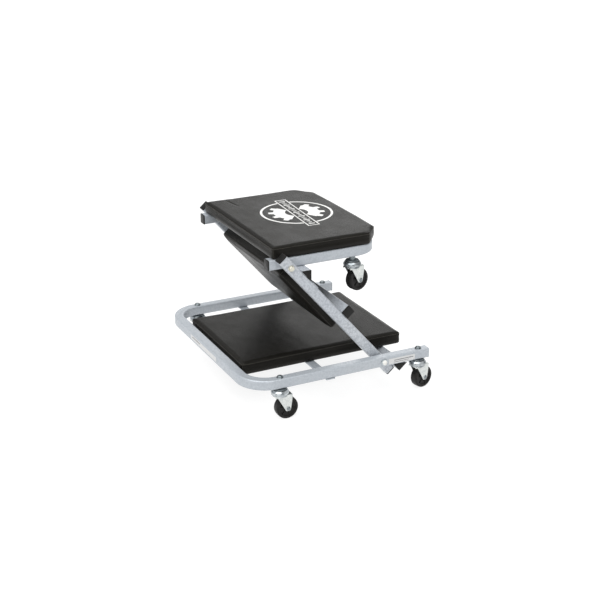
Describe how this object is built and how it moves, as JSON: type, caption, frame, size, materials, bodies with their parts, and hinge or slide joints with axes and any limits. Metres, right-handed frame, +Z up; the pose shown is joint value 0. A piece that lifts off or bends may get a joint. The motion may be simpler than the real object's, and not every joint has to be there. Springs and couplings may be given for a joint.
{
  "type": "mechanics creeper",
  "caption": "Folding mechanics creeper that also folds into a low rolling seat: padded tubular steel frames on swivel casters, joined by two fold pivots.",
  "frame": {"origin": "on the floor, at the bottom centre of the bounding box of the creeper folded into its seat", "axes": "+Z up, +Y along the seat's width, +X towards the open ends of the base rails"},
  "size_m": [0.5217, 0.5694, 0.4208],
  "materials": {
    "powder_coated_steel": "silver-grey powder coat, fine hammered grain",
    "zinc_plated_steel": "bright zinc plating",
    "padded_vinyl": "black vinyl cover with fine leather grain over foam",
    "plywood": "board under the pads, stained black",
    "black_plastic": "moulded, satin",
    "grey_plastic": "moulded, satin, toned to the frame",
    "wheel_tread": "black moulded, slightly scuffed tread"
  },
  "bodies": {
    "base": {"base_frame_tube": "powder_coated_steel", "base_pad_strap": "powder_coated_steel", "base_pad_board": "plywood", "base_pad_cushion": "padded_vinyl", "base_rail_cap_near": "grey_plastic", "lower_pivot_bolt_near": "zinc_plated_steel", "base_rail_cap_far": "grey_plastic", "lower_pivot_bolt_far": "zinc_plated_steel", "caster_rear_near_stem": "zinc_plated_steel", "caster_rear_far_stem": "zinc_plated_steel", "caster_front_near_stem": "zinc_plated_steel", "caster_front_far_stem": "zinc_plated_steel"},
    "middle": {"middle_stop_angle": "powder_coated_steel", "middle_crossbar": "powder_coated_steel", "middle_pad_strap": "powder_coated_steel", "middle_pad_board": "plywood", "middle_pad_cushion": "padded_vinyl", "arm_near": "powder_coated_steel", "arm_lower_cap_near": "black_plastic", "arm_upper_cap_near": "black_plastic", "middle_stop_plug_near": "black_plastic", "middle_crossbar_cap_near": "black_plastic", "upper_pivot_bolt_near": "zinc_plated_steel", "upper_pivot_spacer_near": "zinc_plated_steel", "arm_far": "powder_coated_steel", "arm_lower_cap_far": "black_plastic", "arm_upper_cap_far": "black_plastic", "middle_stop_plug_far": "black_plastic", "middle_crossbar_cap_far": "black_plastic", "upper_pivot_bolt_far": "zinc_plated_steel", "upper_pivot_spacer_far": "zinc_plated_steel"},
    "seat": {"seat_frame_tube": "powder_coated_steel", "seat_stop_angle": "powder_coated_steel", "seat_pad_board": "plywood", "seat_pad_cushion": "padded_vinyl", "seat_stop_plug_near": "black_plastic", "seat_rail_cap_near": "black_plastic", "seat_stop_plug_far": "black_plastic", "seat_rail_cap_far": "black_plastic", "caster_seat_near_stem": "zinc_plated_steel", "caster_seat_far_stem": "zinc_plated_steel"},
    "caster_rear_near_swivel": {"caster_rear_near_fork": "zinc_plated_steel", "caster_rear_near_axle": "zinc_plated_steel"},
    "caster_rear_near_wheel": {"caster_rear_near_wheel": "wheel_tread"},
    "caster_rear_far_swivel": {"caster_rear_far_fork": "zinc_plated_steel", "caster_rear_far_axle": "zinc_plated_steel"},
    "caster_rear_far_wheel": {"caster_rear_far_wheel": "wheel_tread"},
    "caster_front_near_swivel": {"caster_front_near_fork": "zinc_plated_steel", "caster_front_near_axle": "zinc_plated_steel"},
    "caster_front_near_wheel": {"caster_front_near_wheel": "wheel_tread"},
    "caster_front_far_swivel": {"caster_front_far_fork": "zinc_plated_steel", "caster_front_far_axle": "zinc_plated_steel"},
    "caster_front_far_wheel": {"caster_front_far_wheel": "wheel_tread"},
    "caster_seat_near_swivel": {"caster_seat_near_fork": "zinc_plated_steel", "caster_seat_near_axle": "zinc_plated_steel"},
    "caster_seat_near_wheel": {"caster_seat_near_wheel": "wheel_tread"},
    "caster_seat_far_swivel": {"caster_seat_far_fork": "zinc_plated_steel", "caster_seat_far_axle": "zinc_plated_steel"},
    "caster_seat_far_wheel": {"caster_seat_far_wheel": "wheel_tread"}
  },
  "joints": [
    {"name": "lower_fold", "type": "hinge", "parent": "base", "child": "middle", "pos_m": [0.11, 0, 0.097], "axis": [0, 1, 0], "range_deg": [0, 129.6]},
    {"name": "upper_fold", "type": "hinge", "parent": "middle", "child": "seat", "pos_m": [-0.13405, 0, 0.37775], "axis": [0, -1, 0], "range_deg": [0, 129.6]},
    {"name": "caster_rear_near_turn", "type": "hinge", "parent": "base", "child": "caster_rear_near_swivel", "pos_m": [-0.1735, -0.2633, 0.075], "axis": [0, 0, 1], "continuous": true},
    {"name": "caster_rear_near_roll", "type": "hinge", "parent": "caster_rear_near_swivel", "child": "caster_rear_near_wheel", "pos_m": [-0.1575, -0.2633, 0.029], "axis": [0, 1, 0], "continuous": true},
    {"name": "caster_rear_far_turn", "type": "hinge", "parent": "base", "child": "caster_rear_far_swivel", "pos_m": [-0.1735, 0.2633, 0.075], "axis": [0, 0, 1], "continuous": true},
    {"name": "caster_rear_far_roll", "type": "hinge", "parent": "caster_rear_far_swivel", "child": "caster_rear_far_wheel", "pos_m": [-0.1577, 0.2658, 0.029], "axis": [-0.1564, 0.9877, 0], "continuous": true},
    {"name": "caster_front_near_turn", "type": "hinge", "parent": "base", "child": "caster_front_near_swivel", "pos_m": [0.2155, -0.2633, 0.075], "axis": [0, 0, 1], "continuous": true},
    {"name": "caster_front_near_roll", "type": "hinge", "parent": "caster_front_near_swivel", "child": "caster_front_near_wheel", "pos_m": [0.23103, -0.25943, 0.029], "axis": [-0.2419, 0.9703, 0], "continuous": true},
    {"name": "caster_front_far_turn", "type": "hinge", "parent": "base", "child": "caster_front_far_swivel", "pos_m": [0.2155, 0.2633, 0.075], "axis": [0, 0, 1], "continuous": true},
    {"name": "caster_front_far_roll", "type": "hinge", "parent": "caster_front_far_swivel", "child": "caster_front_far_wheel", "pos_m": [0.2315, 0.2633, 0.029], "axis": [0, 1, 0], "continuous": true},
    {"name": "caster_seat_near_turn", "type": "hinge", "parent": "seat", "child": "caster_seat_near_swivel", "pos_m": [0.05645, -0.1993, 0.34705], "axis": [0, 0, 1], "continuous": true},
    {"name": "caster_seat_near_roll", "type": "hinge", "parent": "caster_seat_near_swivel", "child": "caster_seat_near_wheel", "pos_m": [0.0721, -0.19597, 0.30105], "axis": [-0.2079, 0.9781, 0], "continuous": true},
    {"name": "caster_seat_far_turn", "type": "hinge", "parent": "seat", "child": "caster_seat_far_swivel", "pos_m": [0.05645, 0.1993, 0.34705], "axis": [0, 0, 1], "continuous": true},
    {"name": "caster_seat_far_roll", "type": "hinge", "parent": "caster_seat_far_swivel", "child": "caster_seat_far_wheel", "pos_m": [0.07229, 0.19707, 0.30105], "axis": [0.1392, 0.9903, 0], "continuous": true}
  ]
}
